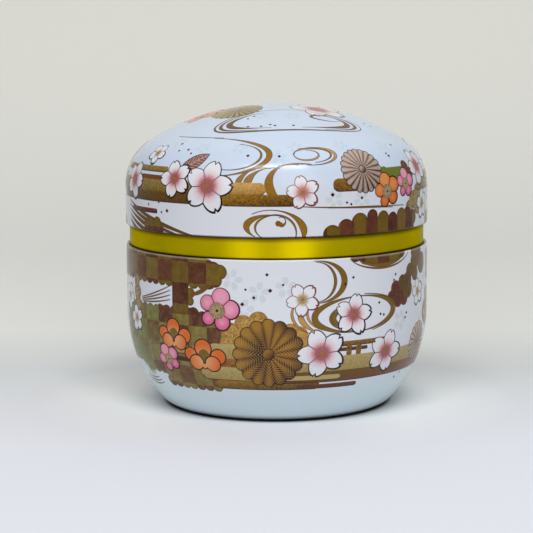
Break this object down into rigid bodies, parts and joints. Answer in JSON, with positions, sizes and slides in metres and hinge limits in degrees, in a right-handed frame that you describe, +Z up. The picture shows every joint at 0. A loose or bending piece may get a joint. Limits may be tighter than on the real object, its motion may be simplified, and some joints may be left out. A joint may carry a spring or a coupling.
{
  "type": "tea caddy",
  "caption": "Round printed-tin tea caddy with a rounded base, a domed lift-off lid, a gold sleeve showing between them and a plug-in inner lid.",
  "frame": {"origin": "centre of the ring that the caddy stands on, on the table's surface", "axes": "+Z up along the caddy's axis, -Y towards the viewer of the picture, +X to the viewer's right"},
  "size_m": [0.085, 0.085, 0.0844],
  "materials": {
    "printed_tin_body": "gloss",
    "gold_lacquered_tin": "satin",
    "soft_plastic": "satin",
    "printed_tin_lid": "gloss"
  },
  "bodies": {
    "body": {"body_shell": "printed_tin_body", "neck_sleeve": "gold_lacquered_tin"},
    "inner": {"inner_lid": "soft_plastic"},
    "lid": {"lid_shell": "printed_tin_lid"}
  },
  "joints": [
    {"name": "inner_lid_lift", "type": "slide", "parent": "body", "child": "inner", "axis": [0, 0, 1], "range_m": [0, 0.025]},
    {"name": "lid_lift", "type": "slide", "parent": "inner", "child": "lid", "axis": [0, 0, 1], "range_m": [0, 0.04]}
  ]
}
